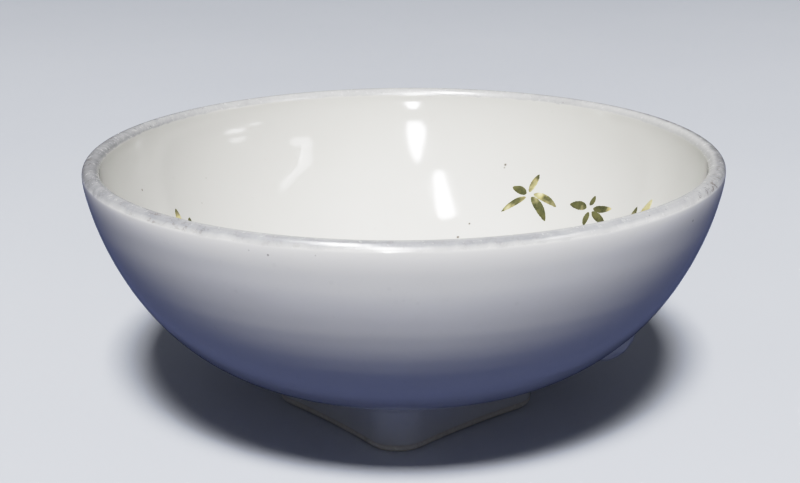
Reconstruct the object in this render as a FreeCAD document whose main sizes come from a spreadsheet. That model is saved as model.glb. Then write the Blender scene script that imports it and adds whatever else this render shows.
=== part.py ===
import FreeCAD, Part
import math
import os
import Sketcher

# Footed porcelain cup. Millimetres, +Z up, origin at the centre of the foot's resting plane.
# A round bowl stands on a low four-cornered foot with slightly hollow sides. Bowl, foot and
# the bead of slip between them are biscuit ware; thin glaze coats, a metal line on the lip and
# gilt leaf marks inside lie on top of it. A small sprigged pad sits low on the outside wall.

V = FreeCAD.Vector
UP = V(0, 0, 1)
doc = FreeCAD.newDocument("footed_cup")

# ---------------------------------------------------------------- driving dimensions
SIZES = [
    ("rim_radius", 44.0, "outside radius of the glazed lip"),
    ("lip_z", 36.7, "height of the lip's centre plane above the table"),
    ("bowl_depth", 30.2, "outside depth of the bowl below the lip's centre plane"),
    ("lip_wall", 2.3, "glazed wall thickness at the lip"),
    ("base_wall", 3.0, "glazed thickness at the centre of the bottom"),
    ("glaze", 0.2, "thickness of the glaze coats"),
    ("pole_a_z", 0.1782, "wall curve, second pole: share of the depth"),
    ("pole_b_r", 0.8224, "wall curve, third pole: share of the radius"),
    ("pole_b_z", 1.0523, "wall curve, third pole: share of the depth"),
    ("pole_c_r", 0.4698, "wall curve, fourth pole: share of the radius"),
    ("band_metal", 0.08, "thickness of the metal line on the lip"),
    ("band_start", 12.0, "the metal line starts this many degrees above the lip's outer side"),
    ("band_end", 168.0, "and ends this many degrees round, on the inner side"),
    ("foot_tip", 18.3, "distance from the axis to a foot corner at the table"),
    ("foot_corner", 4.5, "radius of a foot corner"),
    ("foot_side", 120.0, "radius of a foot side, which is hollow"),
    ("foot_turn", -94.0, "direction of the first foot corner, degrees from +X"),
    ("foot_draft", 5.0, "outward lean of the foot wall, degrees"),
    ("foot_block", 9.0, "height of the foot blank before it is fitted to the bowl"),
    ("ring_wall", 2.9, "width of the foot ring at the table"),
    ("ring_draft", 9.0, "inward lean of the recess wall, degrees"),
    ("ring_edge", 0.7, "rounding of the foot ring's edges"),
    ("slip_low", 4.6, "height where the bead of slip starts on the foot wall"),
    ("slip_draft", 38.0, "flare of the bead of slip, degrees"),
    ("slip_block", 4.6, "height of the bead before it is fitted to the bowl"),
    ("foot_glaze_low", 1.3, "height of the unglazed edge of the foot"),
    ("foot_glaze_lap", 0.6, "rise of the foot's glaze blank past the start of the bead"),
    ("pad_turn", -20.0, "direction of the pad from the axis, degrees from +X"),
    ("pad_radius", 30.5, "distance of the pad's centre from the axis"),
    ("pad_z", 12.4, "height of the pad's centre"),
    ("pad_tilt", 54.0, "slope of the pad's outward normal below the horizontal, degrees"),
    ("pad_length", 4.1, "half length of the pad round the bowl"),
    ("pad_width", 3.8, "half width of the pad up the wall"),
    ("pad_height", 1.85, "height of the pad's crown above its centre"),
    ("gilt", 0.08, "thickness of the gilt marks"),
    ("stroke_shift", 10.0, "sideways offset that keeps the leaf dimensions positive"),
]

# Gilt sprigs inside the bowl: each mark's direction from +X in degrees, then its leaves. A leaf is
# (sideways, height) of its stalk end, the same of its tip, and half its width. Sideways is
# measured from the mark's own direction and runs anticlockwise; height is above the table.
SPRIGS = {
    "gilt_sprig_back": (54.5, [
        (0.96, 22.99, -0.02, 25.74, 0.42),
        (1.31, 22.73, 4.11, 23.35, 0.42),
        (1.20, 22.22, 4.61, 19.72, 0.38),
        (0.32, 22.34, -3.72, 19.51, 0.48),
        (0.05, 22.82, -4.80, 21.66, 0.38)]),
    "gilt_sprig_right": (35.0, [
        (1.60, 22.59, 5.06, 22.51, 0.46),
        (1.15, 23.05, 0.91, 24.51, 0.36),
        (0.27, 22.79, -3.56, 23.55, 0.38),
        (0.91, 22.14, 0.39, 20.29, 0.42),
        (0.23, 22.29, -3.70, 21.34, 0.38)]),
    "gilt_sprig_side": (19.0, [
        (0.90, 22.20, 1.35, 24.80, 0.42),
        (-0.30, 22.40, -1.35, 26.50, 0.58),
        (-0.70, 21.70, -4.20, 22.90, 0.42),
        (0.80, 21.30, 3.60, 20.20, 0.40),
        (0.00, 21.20, -2.60, 18.90, 0.44)]),
    "gilt_sprig_left": (156.0, [
        (1.60, 21.60, 0.57, 25.05, 0.50),
        (-0.20, 21.10, -1.49, 23.20, 0.40),
        (2.40, 21.20, 5.40, 22.40, 0.42),
        (1.10, 20.50, -1.90, 18.70, 0.42),
        (2.10, 20.60, 4.60, 18.90, 0.42)]),
}
LEAF_COLUMNS = ("stalk_s", "stalk_z", "tip_s", "tip_z", "half")


def leaf_stem(mark, number):
    """The start of the aliases of one leaf."""
    return "%s_leaf%s_" % (mark, "abcde"[number])


def fill_sheet():
    """Writes every driving dimension to the sheet; returns them by alias."""
    rows = list(SIZES)
    for mark, (turn, leaves) in SPRIGS.items():
        rows.append((mark + "_turn", turn, "direction of the sprig, degrees from +X"))
        for number, leaf in enumerate(leaves):
            for column, value in zip(LEAF_COLUMNS, leaf):
                rows.append((leaf_stem(mark, number) + column, value, ""))
    sheet = doc.addObject("Spreadsheet::Sheet", "Sizes")
    for row, (alias, value, note) in enumerate(rows, 1):
        sheet.set("A%d" % row, alias)
        sheet.set("B%d" % row, repr(value))
        sheet.setAlias("B%d" % row, alias)
        if note:
            sheet.set("C%d" % row, note)
    return {alias: value for alias, value, _ in rows}


size = fill_sheet()
doc.recompute()

rim_radius, bowl_depth, glaze = size["rim_radius"], size["bowl_depth"], size["glaze"]
lip_wall, base_wall, lip_z = size["lip_wall"], size["base_wall"], size["lip_z"]

# The nested wall surfaces, from outside to inside: radius, depth, and an expression for each.
GLAZE_OUTSIDE = (
    rim_radius, bowl_depth,
    "Sizes.rim_radius", "Sizes.bowl_depth")
BISCUIT_OUTSIDE = (
    rim_radius - glaze, bowl_depth - glaze,
    "Sizes.rim_radius - Sizes.glaze", "Sizes.bowl_depth - Sizes.glaze")
BISCUIT_INSIDE = (
    rim_radius - lip_wall + glaze, bowl_depth - base_wall + glaze,
    "Sizes.rim_radius - Sizes.lip_wall + Sizes.glaze",
    "Sizes.bowl_depth - Sizes.base_wall + Sizes.glaze")
GLAZE_INSIDE = (
    rim_radius - lip_wall, bowl_depth - base_wall,
    "Sizes.rim_radius - Sizes.lip_wall", "Sizes.bowl_depth - Sizes.base_wall")
GILT_INSIDE = (
    rim_radius - lip_wall - size["gilt"], bowl_depth - base_wall - size["gilt"],
    "Sizes.rim_radius - Sizes.lip_wall - Sizes.gilt",
    "Sizes.bowl_depth - Sizes.base_wall - Sizes.gilt")

# the lip's section is round, about this distance from the axis
lip_x = rim_radius - lip_wall / 2
LIP_X_EXPR = "Sizes.rim_radius - Sizes.lip_wall / 2"

# ---------------------------------------------------------------- sketch helpers
# Sketcher's numbers for the points of an edge, and for the sketch's own axes and origin
START, END, CENTRE = 1, 2, 3
X_AXIS, Y_AXIS = -1, -2
ORIGIN = (-1, START)


def new_body(name):
    return doc.addObject("PartDesign::Body", name)


def new_sketch(body, name, role):
    """A sketch on the body's own origin plane of that role."""
    plane = next(f for f in body.Origin.OriginFeatures if f.Role == role)
    sk = body.newObject("Sketcher::SketchObject", name)
    sk.AttachmentSupport = [(plane, "")]
    sk.MapMode = "FlatFace"
    return sk


def constrain(sk, kind, *args):
    return sk.addConstraint(Sketcher.Constraint(kind, *args))


def bind(sk, kind, args, value, expression):
    """Adds a dimension and ties it to the sheet."""
    index = constrain(sk, kind, *args, value)
    sk.setExpression("Constraints[%d]" % index, expression)


def bind_x(sk, edge, point, value, expression):
    bind(sk, "DistanceX", (*ORIGIN, edge, point), value, expression)


def bind_y(sk, edge, point, value, expression):
    bind(sk, "DistanceY", (*ORIGIN, edge, point), value, expression)


def join(sk, *pairs):
    for pair in pairs:
        constrain(sk, "Coincident", *pair)


def line(sk, x0, y0, x1, y1):
    return sk.addGeometry(Part.LineSegment(V(x0, y0, 0), V(x1, y1, 0)), False)


def arc(sk, x, y, radius, start, end):
    """An anticlockwise arc about (x, y) between two angles in degrees."""
    circle = Part.Circle(V(x, y, 0), UP, radius)
    return sk.addGeometry(
        Part.ArcOfCircle(circle, math.radians(start), math.radians(end)), False)


def revolve(body, sk, name):
    revolution = body.newObject("PartDesign::Revolution", name)
    revolution.Profile = sk
    revolution.ReferenceAxis = (sk, ["V_Axis"])
    revolution.Angle = 360.0
    sk.Visibility = False


def wall_curve(sk, surface):
    """The cup's wall curve from the lip's centre plane to the axis: one quartic spline whose
    five poles are shares of a radius and a depth."""
    radius, depth, radius_expr, depth_expr = surface
    # each pole: x, y and their expressions; the last pole lies on the axis
    poles = [
        (radius, lip_z, radius_expr, "Sizes.lip_z"),
        (radius, lip_z - depth * size["pole_a_z"],
         radius_expr, "Sizes.lip_z - (%s) * Sizes.pole_a_z" % depth_expr),
        (radius * size["pole_b_r"], lip_z - depth * size["pole_b_z"],
         "(%s) * Sizes.pole_b_r" % radius_expr,
         "Sizes.lip_z - (%s) * Sizes.pole_b_z" % depth_expr),
        (radius * size["pole_c_r"], lip_z - depth,
         "(%s) * Sizes.pole_c_r" % radius_expr, "Sizes.lip_z - (%s)" % depth_expr),
        (0.0, lip_z - depth, None, "Sizes.lip_z - (%s)" % depth_expr),
    ]
    # construction circles of equal weight stand for the poles
    circles = [sk.addGeometry(Part.Circle(V(x, y, 0), UP, 1.0), True) for x, y, _, _ in poles]
    constrain(sk, "Weight", circles[0], 1.0)
    for circle in circles[1:]:
        constrain(sk, "Equal", circles[0], circle)
    spline = Part.BSplineCurve()
    spline.buildFromPolesMultsKnots(
        [V(x, y, 0) for x, y, _, _ in poles], [5, 5], [0.0, 1.0], False, 4)
    curve = sk.addGeometry(spline, False)
    for k, circle in enumerate(circles):
        constrain(sk, "InternalAlignment:Sketcher::BSplineControlPoint", circle, CENTRE, curve, k)
    for circle, (x, y, x_expr, y_expr) in zip(circles, poles):
        if x_expr is None:
            constrain(sk, "PointOnObject", circle, CENTRE, Y_AXIS)
        else:
            bind_x(sk, circle, CENTRE, x, x_expr)
        bind_y(sk, circle, CENTRE, y, y_expr)
    return curve


def wall_pair(sk, first, second):
    """Two wall curves joined by a short line on the axis."""
    curve_a = wall_curve(sk, first)
    curve_b = wall_curve(sk, second)
    base = line(sk, 0, lip_z - first[1], 0, lip_z - second[1])
    join(sk, (curve_a, END, base, START), (base, END, curve_b, END))
    return curve_a, curve_b


def centre_on_lip(sk, *arcs):
    for edge in arcs:
        bind_x(sk, edge, CENTRE, lip_x, LIP_X_EXPR)
        bind_y(sk, edge, CENTRE, lip_z, "Sizes.lip_z")


# ---------------------------------------------------------------- booleans
def cut(name, base, tool):
    result = doc.addObject("Part::Cut", name)
    result.Base = base
    result.Tool = tool
    return result


def common(name, base, tool):
    result = doc.addObject("Part::Common", name)
    result.Base = base
    result.Tool = tool
    return result


def fuse(name, shapes):
    result = doc.addObject("Part::MultiFuse", name)
    result.Shapes = shapes
    return result


# ---------------------------------------------------------------- bowl
def make_bowl():
    """The biscuit bowl with its round lip."""
    body = new_body("bowl_body")
    sk = new_sketch(body, "BowlProfile", "XZ_Plane")
    outer, inner = wall_pair(sk, BISCUIT_OUTSIDE, BISCUIT_INSIDE)
    lip = arc(sk, lip_x, lip_z, lip_wall / 2 - glaze, 0, 180)
    join(sk, (lip, END, inner, START), (lip, START, outer, START))
    bind_y(sk, lip, CENTRE, lip_z, "Sizes.lip_z")
    revolve(body, sk, "BowlRevolution")
    return body


def envelope(name, surface):
    """The space inside a wall surface, filled up to the lip's centre plane."""
    body = new_body(name)
    sk = new_sketch(body, name + "Profile", "XZ_Plane")
    curve = wall_curve(sk, surface)
    axis = line(sk, 0, lip_z - surface[1], 0, lip_z)
    top = line(sk, 0, lip_z, surface[0], lip_z)
    join(sk, (curve, END, axis, START), (axis, END, top, START), (top, END, curve, START))
    constrain(sk, "Vertical", axis)
    revolve(body, sk, name + "Revolution")
    return body


bowl = make_bowl()
# a tool that fits the foot, the slip and the pad to the bowl
biscuit_space = envelope("BiscuitSpace", BISCUIT_OUTSIDE)

# ---------------------------------------------------------------- four-cornered blanks
# offsets of the foot outline, outwards when positive, each with its expression
UNDER_GLAZE = (-glaze, "-Sizes.glaze")
RECESS_INSET = (-size["ring_wall"], "-Sizes.ring_wall")


def foot_outline(sk, grow, grow_expr):
    """Four corner arcs on the sketch axes joined by four hollow side arcs."""
    corner_radius = size["foot_corner"] + grow
    side_radius = size["foot_side"] - grow
    reach = size["foot_tip"] - size["foot_corner"]
    # side centres lie on the diagonals at (far, far), both radii away from the corner centres
    far = (2 * reach + math.sqrt(
        4 * reach * reach - 8 * (reach * reach - (side_radius + corner_radius) ** 2))) / 4
    half_sweep = math.degrees(math.atan2(far, far - reach))
    side_ends = sorted((
        math.degrees(math.atan2(-far, reach - far)) % 360,
        math.degrees(math.atan2(reach - far, -far)) % 360))
    quarter_turns = [(90 * k, math.cos(math.radians(90 * k)), math.sin(math.radians(90 * k)))
                     for k in range(4)]
    corners = [
        arc(sk, reach * cos, reach * sin, corner_radius, turn - half_sweep, turn + half_sweep)
        for turn, cos, sin in quarter_turns]
    sides = [
        arc(sk, far * cos - far * sin, far * sin + far * cos, side_radius,
            side_ends[0] + turn, side_ends[1] + turn)
        for turn, cos, sin in quarter_turns]
    for k in range(4):
        # a side's last end meets this corner's last end, its first end the next corner's first
        constrain(sk, "Tangent", corners[k], END, sides[k], END)
        constrain(sk, "Tangent", corners[(k + 1) % 4], START, sides[k], START)
    for k, corner in enumerate(corners):
        axis, kind = ((X_AXIS, "DistanceX"), (Y_AXIS, "DistanceY"))[k % 2]
        constrain(sk, "PointOnObject", corner, CENTRE, axis)
        # the last two corners are on the negative axes, so they are measured to the origin
        args = (*ORIGIN, corner, CENTRE) if k < 2 else (corner, CENTRE, *ORIGIN)
        bind(sk, kind, args, reach, "Sizes.foot_tip - Sizes.foot_corner")
    bind(sk, "Radius", (corners[0],), corner_radius, "Sizes.foot_corner + (%s)" % grow_expr)
    bind(sk, "Radius", (sides[0],), side_radius, "Sizes.foot_side - (%s)" % grow_expr)
    for k in (1, 2, 3):
        constrain(sk, "Equal", corners[0], corners[k])
        constrain(sk, "Equal", sides[0], sides[k])


def turn_foot(body):
    """Turns a body about the cup's axis to the foot's direction."""
    body.Placement = FreeCAD.Placement(V(0, 0, 0), FreeCAD.Rotation(UP, size["foot_turn"]))
    body.setExpression("Placement.Rotation.Angle", "Sizes.foot_turn")


def foot_prism(body, name, grow, height, draft, low=None):
    """Adds a drafted prism on the foot outline. Height and draft are expressions; low is the
    alias of the prism's starting height, or None at the table."""
    sk = new_sketch(body, name + "Outline", "XY_Plane")
    foot_outline(sk, *grow)
    if low:
        sk.AttachmentOffset = FreeCAD.Placement(V(0, 0, size[low]), FreeCAD.Rotation())
        sk.setExpression("AttachmentOffset.Base.z", "Sizes." + low)
    pad = body.newObject("PartDesign::Pad", name + "Pad")
    pad.Profile = sk
    pad.setExpression("Length", height)
    pad.setExpression("TaperAngle", draft)
    sk.Visibility = False


def foot_blank(name, *prism, **options):
    """A turned body with one foot prism."""
    body = new_body(name)
    foot_prism(body, name, *prism, **options)
    turn_foot(body)
    return body


# the foot without its recess: clears the slip and the glaze around the foot
foot_space = foot_blank("FootSpace", UNDER_GLAZE, "Sizes.foot_block", "Sizes.foot_draft")
# the recess on its own: keeps the glaze under the cup
recess = foot_blank("RecessSpace", RECESS_INSET, "Sizes.foot_block", "-Sizes.ring_draft")
# the bead of slip before it is fitted
slip_blank = foot_blank("SlipBlank", UNDER_GLAZE, "Sizes.slip_block", "Sizes.slip_draft",
                        low="slip_low")
doc.recompute()


# ---------------------------------------------------------------- foot and slip
def edges_at(shape, z, tolerance=1e-4):
    """Names of the edges that lie flat at a height."""
    return ["Edge%d" % i for i, edge in enumerate(shape.Edges, 1)
            if abs(edge.BoundBox.ZMin - z) < tolerance and abs(edge.BoundBox.ZMax - z) < tolerance]


def make_foot():
    """A four-cornered ring, open underneath, fitted to the bowl."""
    ring = new_body("FootRing")
    foot_prism(ring, "Ring", UNDER_GLAZE, "Sizes.foot_block", "Sizes.foot_draft")
    sk = new_sketch(ring, "RecessOutline", "XY_Plane")
    foot_outline(sk, *RECESS_INSET)
    pocket = ring.newObject("PartDesign::Pocket", "RecessPocket")
    pocket.Profile = sk
    pocket.Reversed = True
    pocket.setExpression("Length", "Sizes.foot_block")
    pocket.setExpression("TaperAngle", "-Sizes.ring_draft")
    sk.Visibility = False
    doc.recompute()
    # a pocket that runs the wrong way removes nothing and raises no error of its own
    expected = foot_space.Shape.Volume - recess.Shape.Volume
    if abs(ring.Shape.Volume - expected) > 0.001 * expected:
        raise RuntimeError("the recess wasn't cut: %.1f, not %.1f" % (ring.Shape.Volume, expected))
    rounding = ring.newObject("PartDesign::Fillet", "RingEdges")
    rounding.Base = (pocket, edges_at(pocket.Shape, 0.0))
    rounding.setExpression("Radius", "Sizes.ring_edge")
    turn_foot(ring)
    return cut("foot", ring, biscuit_space)


foot = make_foot()
# the bead round the top of the foot
slip_ring = cut("SlipRing", slip_blank, foot_space)
slip = cut("luting_slip", slip_ring, biscuit_space)


# ---------------------------------------------------------------- relief pad
def make_pad_dome():
    """An ellipsoid whose short axis points outwards and down from the wall."""
    dome = doc.addObject("Part::Ellipsoid", "PadDome")
    dome.setExpression("Radius1", "Sizes.pad_height")
    dome.setExpression("Radius2", "Sizes.pad_width")
    dome.setExpression("Radius3", "Sizes.pad_length")
    turn = math.radians(size["pad_turn"])
    dome.Placement = FreeCAD.Placement(
        V(size["pad_radius"] * math.cos(turn), size["pad_radius"] * math.sin(turn), size["pad_z"]),
        FreeCAD.Rotation(UP, size["pad_turn"])
        * FreeCAD.Rotation(V(0, 1, 0), 90 + size["pad_tilt"]))
    dome.setExpression("Placement.Base.x", "Sizes.pad_radius * cos(Sizes.pad_turn)")
    dome.setExpression("Placement.Base.y", "Sizes.pad_radius * sin(Sizes.pad_turn)")
    dome.setExpression("Placement.Base.z", "Sizes.pad_z")
    return dome


dome = make_pad_dome()
relief = cut("relief_pad", dome, biscuit_space)


# ---------------------------------------------------------------- glaze coats
def coat(name, over, under, lip_from, lip_to):
    """The layer between two wall surfaces, up to the crown of the lip. The lip angles are
    0 to 90 on the outside and 90 to 180 on the inside."""
    body = new_body(name)
    sk = new_sketch(body, name + "Profile", "XZ_Plane")
    curve_over, curve_under = wall_pair(sk, over, under)
    radius_over, radius_under = lip_wall / 2, lip_wall / 2 - glaze
    lip_over = arc(sk, lip_x, lip_z, radius_over, lip_from, lip_to)
    lip_under = arc(sk, lip_x, lip_z, radius_under, lip_from, lip_to)
    crown = line(sk, lip_x, lip_z + radius_over, lip_x, lip_z + radius_under)
    wall_end, crown_end = (START, END) if lip_from == 0 else (END, START)
    join(sk,
         (lip_over, wall_end, curve_over, START), (lip_under, wall_end, curve_under, START),
         (lip_over, crown_end, crown, START), (lip_under, crown_end, crown, END))
    centre_on_lip(sk, lip_over, lip_under)
    bind_x(sk, crown, START, lip_x, LIP_X_EXPR)
    constrain(sk, "Vertical", crown)
    revolve(body, sk, name + "Revolution")
    return body


def make_foot_glaze():
    """The coat on the foot's wall stops short of the table and runs up to the bead of slip."""
    # the foot wall leans out this much by the height where the coat starts
    lean = size["foot_glaze_low"] * math.tan(math.radians(size["foot_draft"]))
    blank = foot_blank(
        "FootCoat", (lean, "Sizes.foot_glaze_low * tan(Sizes.foot_draft)"),
        "Sizes.slip_low + Sizes.foot_glaze_lap - Sizes.foot_glaze_low", "Sizes.foot_draft",
        low="foot_glaze_low")
    return cut("foot_glaze", blank, fuse("FootClearance", [foot_space, slip_blank]))


outer_coat = coat("OuterCoat", GLAZE_OUTSIDE, BISCUIT_OUTSIDE, 0, 90)
inner_glaze = coat("inner_glaze", GLAZE_INSIDE, BISCUIT_INSIDE, 90, 180)
outer_clearance = fuse("OuterClearance", [foot_space, slip_blank, dome])
outer_glaze = cut("outer_glaze", outer_coat, outer_clearance)
# the part of the outside coat that lies within the recess
under_coat = coat("UnderCoat", GLAZE_OUTSIDE, BISCUIT_OUTSIDE, 0, 90)
base_glaze = common("base_glaze", under_coat, recess)
foot_glaze = make_foot_glaze()


# ---------------------------------------------------------------- rim band
def make_rim_band():
    """The metal line over the lip."""
    body = new_body("rim_band")
    sk = new_sketch(body, "BandProfile", "XZ_Plane")
    # radius about the lip's centre and its expression, under and over the metal
    radii = (
        (lip_wall / 2, "Sizes.lip_wall / 2"),
        (lip_wall / 2 + size["band_metal"], "(Sizes.lip_wall / 2 + Sizes.band_metal)"))
    radius_under, radius_over = radii[0][0], radii[1][0]

    def on_lip(radius, alias):
        angle = math.radians(size[alias])
        return lip_x + radius * math.cos(angle), lip_z + radius * math.sin(angle)

    def end_line(alias):
        return line(sk, *on_lip(radius_under, alias), *on_lip(radius_over, alias))

    over = arc(sk, lip_x, lip_z, radius_over, size["band_start"], size["band_end"])
    under = arc(sk, lip_x, lip_z, radius_under, size["band_start"], size["band_end"])
    first = end_line("band_start")
    last = end_line("band_end")
    join(sk, (under, START, first, START), (over, START, first, END),
         (under, END, last, START), (over, END, last, END))
    centre_on_lip(sk, over, under)
    for edge, (radius, expression) in zip((under, over), radii):
        bind(sk, "Radius", (edge,), radius, expression)
    for edge, alias in ((first, "band_start"), (last, "band_end")):
        for point, (radius, expression) in zip((START, END), radii):
            bind_y(sk, edge, point, on_lip(radius, alias)[1],
                   "Sizes.lip_z + %s * sin(Sizes.%s)" % (expression, alias))
    revolve(body, sk, "BandRevolution")
    return body


rim_band = make_rim_band()


# ---------------------------------------------------------------- gilt sprigs
def gilt_layer(name):
    """The layer just inside the inner glaze, in which the gilt lies."""
    body = new_body(name)
    sk = new_sketch(body, name + "Profile", "XZ_Plane")
    curve_over, curve_under = wall_pair(sk, GILT_INSIDE, GLAZE_INSIDE)
    top = line(sk, GILT_INSIDE[0], lip_z, GLAZE_INSIDE[0], lip_z)
    join(sk, (curve_over, START, top, START), (curve_under, START, top, END))
    revolve(body, sk, name + "Revolution")
    return body


def draw_leaf(sk, stem, stalk_s, stalk_z, tip_s, tip_z, half):
    """A pointed leaf between two ends: two arcs of one radius, bulging either way."""
    stalk_x = stalk_s + size["stroke_shift"]
    tip_x = tip_s + size["stroke_shift"]
    length = math.hypot(tip_x - stalk_x, tip_z - stalk_z)
    radius = (length * length / 4 + half * half) / (2 * half)
    middle_x, middle_z = (stalk_x + tip_x) / 2, (stalk_z + tip_z) / 2
    normal_x, normal_z = -(tip_z - stalk_z) / length, (tip_x - stalk_x) / length
    arcs = []
    for side in (1, -1):
        x = middle_x - side * normal_x * (radius - half)
        z = middle_z - side * normal_z * (radius - half)
        stalk_angle = math.degrees(math.atan2(stalk_z - z, stalk_x - x))
        tip_angle = math.degrees(math.atan2(tip_z - z, tip_x - x))
        # the first arc runs tip to stalk, the second stalk to tip, both anticlockwise
        start, end = (tip_angle, stalk_angle) if side == 1 else (stalk_angle, tip_angle)
        while end < start:
            end += 360
        arcs.append(arc(sk, x, z, radius, start, end))
    first, second = arcs
    join(sk, (first, END, second, START), (first, START, second, END))
    stem = "Sizes." + stem
    bind_x(sk, second, START, stalk_x, stem + "stalk_s + Sizes.stroke_shift")
    bind_y(sk, second, START, stalk_z, stem + "stalk_z")
    bind_x(sk, second, END, tip_x, stem + "tip_s + Sizes.stroke_shift")
    bind_y(sk, second, END, tip_z, stem + "tip_z")
    chord_squared = "(({0}tip_s - {0}stalk_s)^2 + ({0}tip_z - {0}stalk_z)^2)".format(stem)
    bind(sk, "Radius", (first,), radius,
         "({1} / 4 + {0}half^2) / (2 * {0}half)".format(stem, chord_squared))
    constrain(sk, "Equal", first, second)


def make_sprig(number, mark, turn, leaves):
    """Leaf outlines carried outwards through the wall, kept only where they meet the layer."""
    strokes = new_body("Strokes%d" % number)
    sk = new_sketch(strokes, "Leaves%d" % number, "YZ_Plane")
    for k, leaf in enumerate(leaves):
        draw_leaf(sk, leaf_stem(mark, k), *leaf)
    pad = strokes.newObject("PartDesign::Pad", "LeavesPad%d" % number)
    pad.Profile = sk
    pad.setExpression("Length", "Sizes.rim_radius")
    sk.Visibility = False
    # the placement takes back the sideways shift of the sketch
    angle, shift = math.radians(turn), size["stroke_shift"]
    strokes.Placement = FreeCAD.Placement(
        V(shift * math.sin(angle), -shift * math.cos(angle), 0), FreeCAD.Rotation(UP, turn))
    turn_expr = "Sizes.%s_turn" % mark
    strokes.setExpression("Placement.Base.x", "Sizes.stroke_shift * sin(%s)" % turn_expr)
    strokes.setExpression("Placement.Base.y", "-Sizes.stroke_shift * cos(%s)" % turn_expr)
    strokes.setExpression("Placement.Rotation.Angle", turn_expr)
    return common(mark, gilt_layer("GiltLayer%d" % number), strokes)


sprigs = [make_sprig(number, mark, turn, leaves)
          for number, (mark, (turn, leaves)) in enumerate(SPRIGS.items(), 1)]

doc.recompute()

# ---------------------------------------------------------------- check and write
PIECES = [bowl, foot, slip, relief, outer_glaze, inner_glaze, base_glaze, foot_glaze, rim_band,
          *sprigs]

for item in doc.Objects:
    if "Invalid" in item.State or "Error" in item.State:
        raise RuntimeError("%s (%s): %s" % (item.Name, item.Label, item.State))
for piece in PIECES:
    if piece.Shape.isNull() or not piece.Shape.isValid() or not piece.Shape.Solids:
        raise RuntimeError("%s has no valid solid" % piece.Label)

os.makedirs("parts", exist_ok=True)
for piece in PIECES:
    piece.Shape.exportStep("parts/%s.step" % piece.Label)
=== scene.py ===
"""A small white porcelain bowl on a four-cornered foot ring, with a worn metal line on its lip,
one ivory pad on the outside and four sprigs of gilt leaves inside.

The bowl's axis is the z axis and z = 0 is the ground. The camera looks from the front, -y, and
+x is to its right. Lengths are in mm unless a comment says metres; angles go round from +x.
"""

import math
from functools import cached_property

import bpy
import numpy as np
from mathutils import Matrix, Vector


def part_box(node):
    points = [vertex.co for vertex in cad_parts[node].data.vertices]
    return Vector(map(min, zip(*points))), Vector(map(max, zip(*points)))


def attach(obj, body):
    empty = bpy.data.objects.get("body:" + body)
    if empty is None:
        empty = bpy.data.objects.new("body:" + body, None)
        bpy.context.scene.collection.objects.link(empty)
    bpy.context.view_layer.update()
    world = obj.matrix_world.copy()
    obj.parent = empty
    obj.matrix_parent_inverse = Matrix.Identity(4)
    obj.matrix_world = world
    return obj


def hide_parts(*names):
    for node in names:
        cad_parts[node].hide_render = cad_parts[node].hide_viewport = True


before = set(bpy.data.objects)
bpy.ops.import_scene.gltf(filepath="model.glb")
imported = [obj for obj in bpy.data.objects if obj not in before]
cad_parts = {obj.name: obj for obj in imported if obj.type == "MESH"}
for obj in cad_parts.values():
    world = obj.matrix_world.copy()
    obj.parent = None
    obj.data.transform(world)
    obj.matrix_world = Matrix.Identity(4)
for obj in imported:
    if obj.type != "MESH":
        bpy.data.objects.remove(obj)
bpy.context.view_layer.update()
MM = 0.001

# ------------------------------------------------------------------ driving sizes
GLAZE_LOW, GLAZE_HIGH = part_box("outer_glaze")
RIM_RADIUS = max(GLAZE_HIGH.x - GLAZE_LOW.x, GLAZE_HIGH.y - GLAZE_LOW.y) / 2 / MM
LIP_WIDTH = 2.3
LIP_Z = GLAZE_HIGH.z / MM - LIP_WIDTH / 2            # centre of the lip's half round
UNDERSIDE_Z = 6.5                                    # outside of the bowl at the axis
OUTER_DEPTH = LIP_Z - UNDERSIDE_Z
INNER_RADIUS = RIM_RADIUS - LIP_WIDTH
INNER_DEPTH = LIP_Z - (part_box("inner_glaze")[0].z / MM + 0.2)
FOOT_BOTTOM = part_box("foot")[0].z / MM

# control points of the wall's curve, lip to axis: share of the radius, share of the depth
WALL_POLES = ((1.0, 0.0), (1.0, 0.1782), (0.8224, 1.0523), (0.4698, 1.0), (0.0, 1.0))
OUTER_POINTS, LIP_POINTS, INNER_POINTS = 116, 25, 104


def full_turn(count):
    """Evenly spaced angles round the axis."""
    return np.linspace(0, 2 * np.pi, count, endpoint=False)


# ------------------------------------------------------------------ smooth repeatable unevenness
class Wobble:
    """A sum of low waves round the axis and along the profile, in mm."""

    def __init__(self, seed, amount, round_max, along_max, count):
        random = np.random.RandomState(seed)
        self.round = random.randint(1, round_max + 1, count)
        self.along = random.uniform(0.0, along_max, count)
        self.round_phase = random.uniform(0, 2 * np.pi, count)
        self.along_phase = random.uniform(0, 2 * np.pi, count)
        height = amount * random.uniform(0.4, 1.0, count)
        self.height = height / np.sqrt(count) / (0.6 + 0.4 * self.round)

    def __call__(self, angle, along=0.0):
        total = 0.0
        waves = zip(self.round, self.along, self.round_phase, self.along_phase, self.height)
        for turns, pitch, round_phase, along_phase, height in waves:
            total = total + (height * np.sin(turns * angle + round_phase)
                             * np.cos(2 * np.pi * pitch * along / 10.0 + along_phase))
        return total


OUTER_WOBBLE = Wobble(seed=3, amount=0.085, round_max=6, along_max=0.16, count=12)
INNER_WOBBLE = Wobble(seed=7, amount=0.075, round_max=5, along_max=0.20, count=12)
LIP_WOBBLE = Wobble(seed=15, amount=0.11, round_max=7, along_max=0.01, count=8)


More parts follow.
